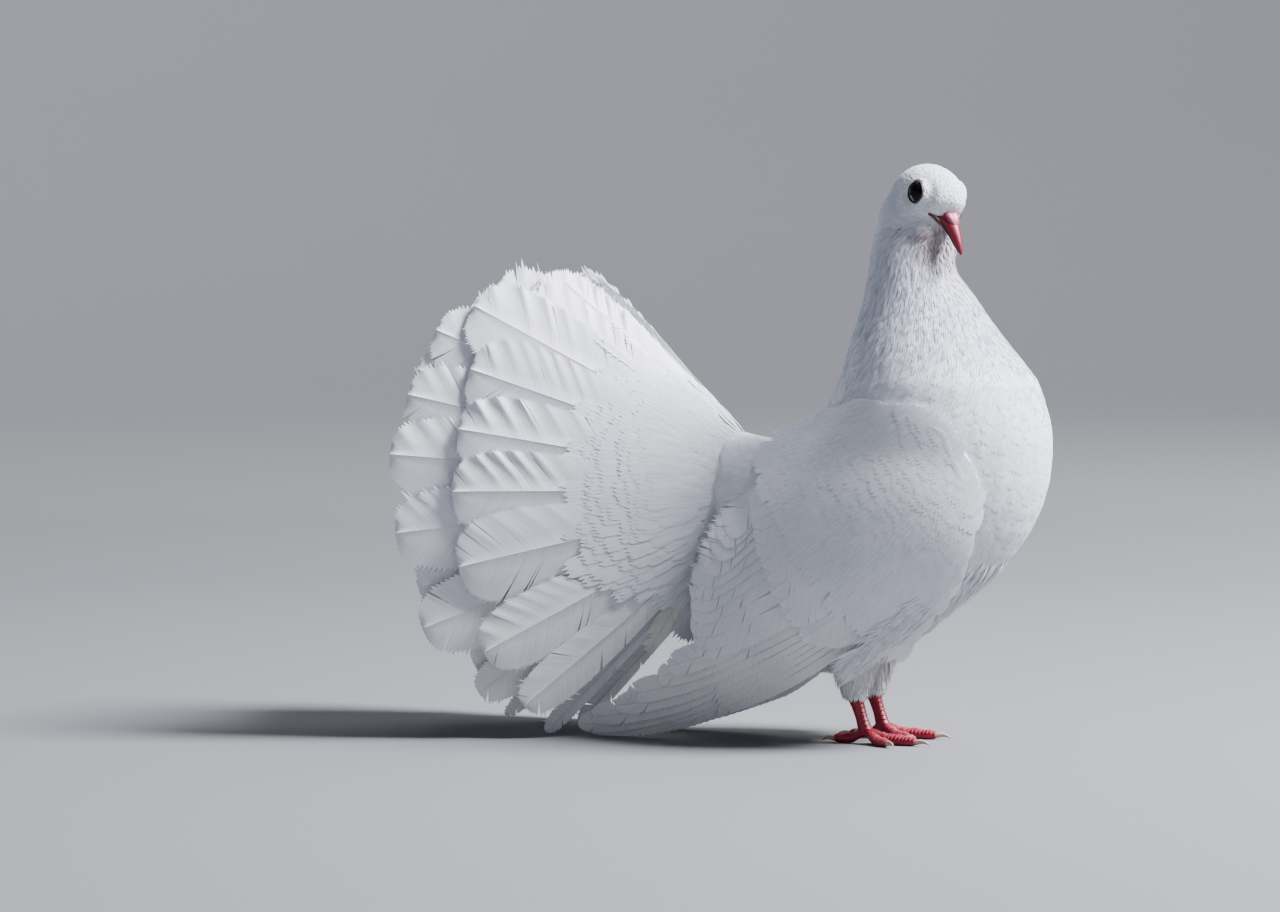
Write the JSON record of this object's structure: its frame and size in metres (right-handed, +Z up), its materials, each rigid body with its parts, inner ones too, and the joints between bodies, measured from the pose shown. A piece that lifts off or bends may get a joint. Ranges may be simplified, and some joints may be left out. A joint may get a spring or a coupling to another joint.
{
  "type": "fantail pigeon",
  "caption": "Standing white fantail pigeon, a still life-size model with a steep arched tail fan, folded wings, turned head and bare red feet.",
  "frame": {"origin": "on the floor under the middle of the whole bird's box", "axes": "+X the way the breast faces, +Y to the bird's left, +Z up"},
  "size_m": [0.2814, 0.1552, 0.2571],
  "materials": {
    "white_plumage": "soft matt white body feathers",
    "white_flight_feather": "smooth white wing and tail vanes with a faint sheen",
    "dark_eye": "wet gloss",
    "pink_bill": "satin pink horn, darker red at the gape",
    "pale_cere": "powdery pale pink skin",
    "red_scaled_skin": "satin crimson scaled skin",
    "pale_claw_horn": "satin pale horn"
  },
  "bodies": {
    "root": {"head": "white_plumage", "neck": "white_plumage", "torso": "white_plumage", "tail_base": "white_plumage", "thigh_right": "white_plumage", "thigh_left": "white_plumage", "tail_fan_right": "white_flight_feather", "tail_fan_left": "white_flight_feather", "wing_right": "white_flight_feather", "wing_left": "white_flight_feather", "eye_right": "dark_eye", "eye_left": "dark_eye", "bill_upper": "pink_bill", "bill_lower": "pink_bill", "cere": "pale_cere", "foot_right": "red_scaled_skin", "claw_middle_right": "pale_claw_horn", "claw_inner_right": "pale_claw_horn", "claw_outer_right": "pale_claw_horn", "claw_hind_right": "pale_claw_horn", "foot_left": "red_scaled_skin", "claw_middle_left": "pale_claw_horn", "claw_inner_left": "pale_claw_horn", "claw_outer_left": "pale_claw_horn", "claw_hind_left": "pale_claw_horn"}
  },
  "joints": []
}
